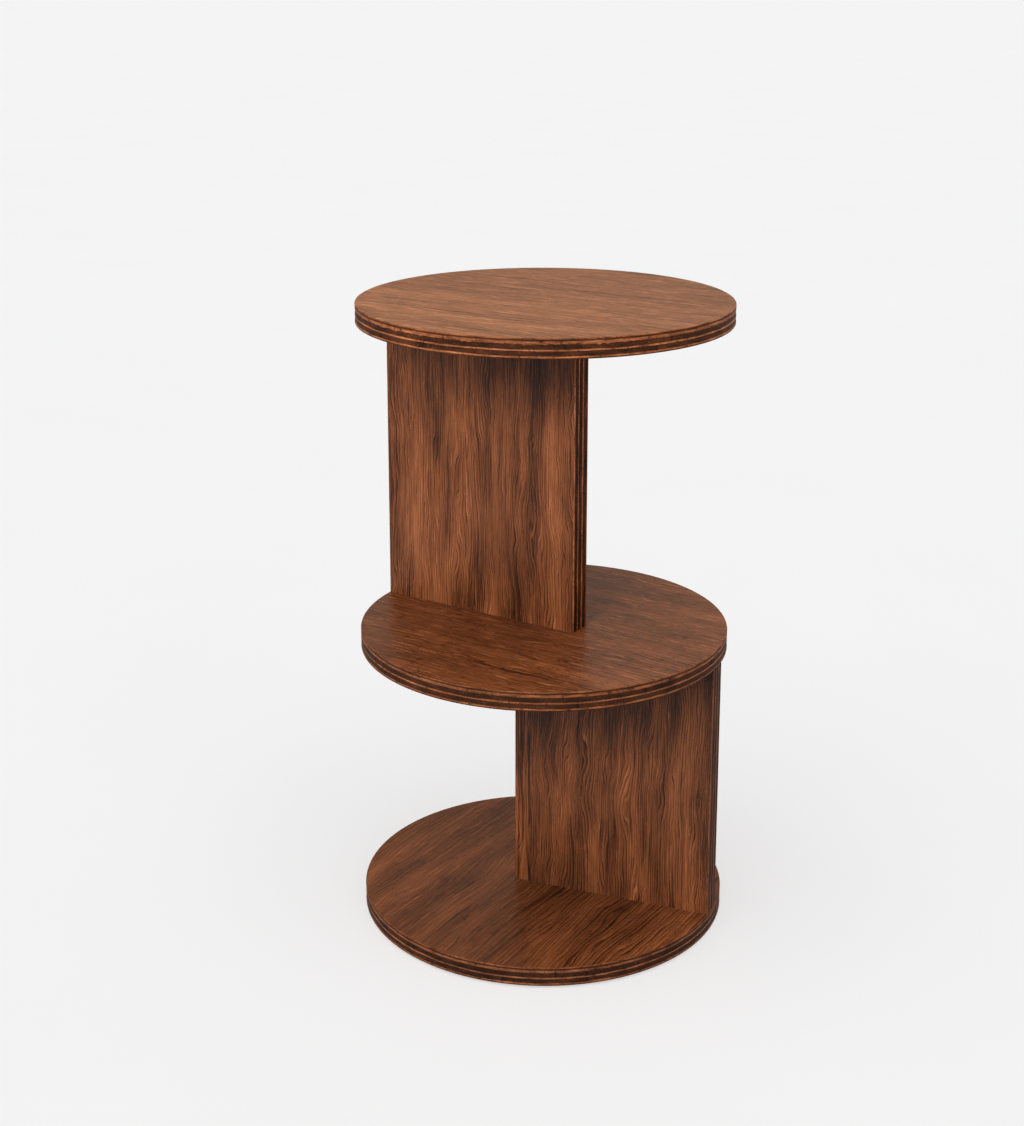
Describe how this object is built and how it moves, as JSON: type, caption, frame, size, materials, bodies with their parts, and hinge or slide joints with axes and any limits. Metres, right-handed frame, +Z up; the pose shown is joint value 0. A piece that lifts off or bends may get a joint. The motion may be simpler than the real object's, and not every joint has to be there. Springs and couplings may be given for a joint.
{
  "type": "round side table",
  "caption": "Round side table: plywood discs as top, shelf and base, held by upright plywood panels on opposite sides of the centre, with open shelf space all round.",
  "frame": {"origin": "on the floor, on the common axis of the three discs", "axes": "+Z up; +X along the upper panel from its outer end towards its inner end; -Y is the front, +Y the back where the cam locks open"},
  "size_m": [0.35, 0.35, 0.6],
  "materials": {
    "disc_veneer": "satin lacquered walnut veneer, bare ply edge",
    "panel_veneer": "satin lacquered walnut veneer, bare ply edge",
    "beech": "raw fluted beech",
    "zinc_steel": "zinc plated",
    "zinc_cast": "die cast, tumbled",
    "brown_plastic": "matt moulded",
    "felt": "needled felt"
  },
  "bodies": {
    "root": {"base_disc": "disc_veneer", "middle_disc": "disc_veneer", "top_disc": "disc_veneer", "lower_panel": "panel_veneer", "upper_panel": "panel_veneer", "felt_pads": "felt", "base_joint_dowels": "beech", "base_joint_cam_bolts": "zinc_steel", "base_joint_cam_locks": "zinc_cast", "base_joint_cover_caps": "brown_plastic", "under_shelf_joint_dowels": "beech", "under_shelf_joint_cam_bolts": "zinc_steel", "under_shelf_joint_cam_locks": "zinc_cast", "under_shelf_joint_cover_caps": "brown_plastic", "over_shelf_joint_dowels": "beech", "over_shelf_joint_cam_bolts": "zinc_steel", "over_shelf_joint_cam_locks": "zinc_cast", "over_shelf_joint_cover_caps": "brown_plastic", "top_joint_dowels": "beech", "top_joint_cam_bolts": "zinc_steel", "top_joint_cam_locks": "zinc_cast", "top_joint_cover_caps": "brown_plastic"}
  },
  "joints": []
}
